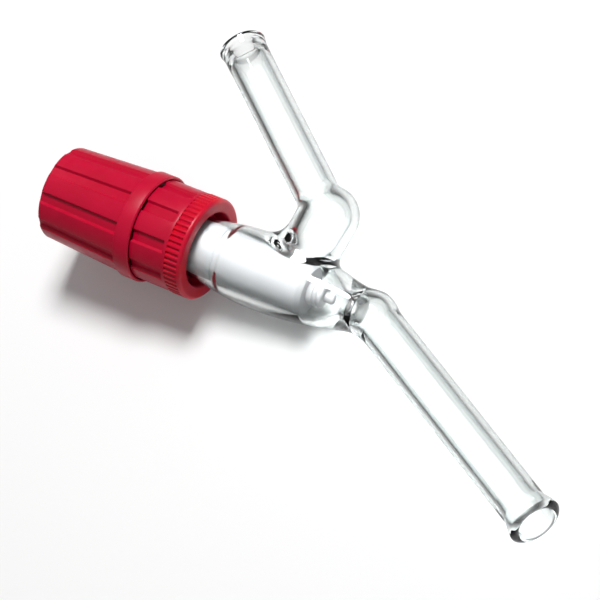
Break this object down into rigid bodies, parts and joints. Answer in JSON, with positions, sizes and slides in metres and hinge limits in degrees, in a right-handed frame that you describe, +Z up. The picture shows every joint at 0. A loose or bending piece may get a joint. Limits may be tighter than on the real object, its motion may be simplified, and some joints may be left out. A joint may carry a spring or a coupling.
{
  "type": "glass stopcock",
  "caption": "Bent glass valve with two hose arms, a white sliding plunger and a ribbed screw cap that telescopes over a sleeve.",
  "frame": {"origin": "under the middle of the stopcock's box, on the surface it lies on", "axes": "+Z up as it lies at rest, +X from the side arm's bead towards the end arm's bead, which is its longest way, +Y by the right-hand rule, away from the cap"},
  "size_m": [0.1412, 0.0642, 0.027],
  "materials": {
    "clear_glass": "clear fire-polished glass",
    "white_plastic": "turned white plastic, slightly waxy",
    "crimson_plastic": "moulded crimson plastic, satin",
    "red_plastic": "moulded bright red plastic, satin"
  },
  "bodies": {
    "glass": {"glass_body": "clear_glass", "sleeve": "crimson_plastic", "serrated_ring": "red_plastic"},
    "slider": {"plunger": "white_plastic"},
    "knob": {"cap": "crimson_plastic"}
  },
  "joints": [
    {"name": "plunger_travel", "type": "slide", "parent": "glass", "child": "slider", "axis": [0.8337, 0.535, -0.137], "range_m": [-0.00501, 0.00361]},
    {"name": "knob_turn", "type": "hinge", "parent": "slider", "child": "knob", "pos_m": [-0.05455, -0.01913, 0.01545], "axis": [0.8337, 0.535, -0.137], "range_deg": [-600, 432]}
  ],
  "couplings": [
    {"joint": "plunger_travel", "follows": "knob_turn", "m_per_rad": 0.00047746}
  ]
}
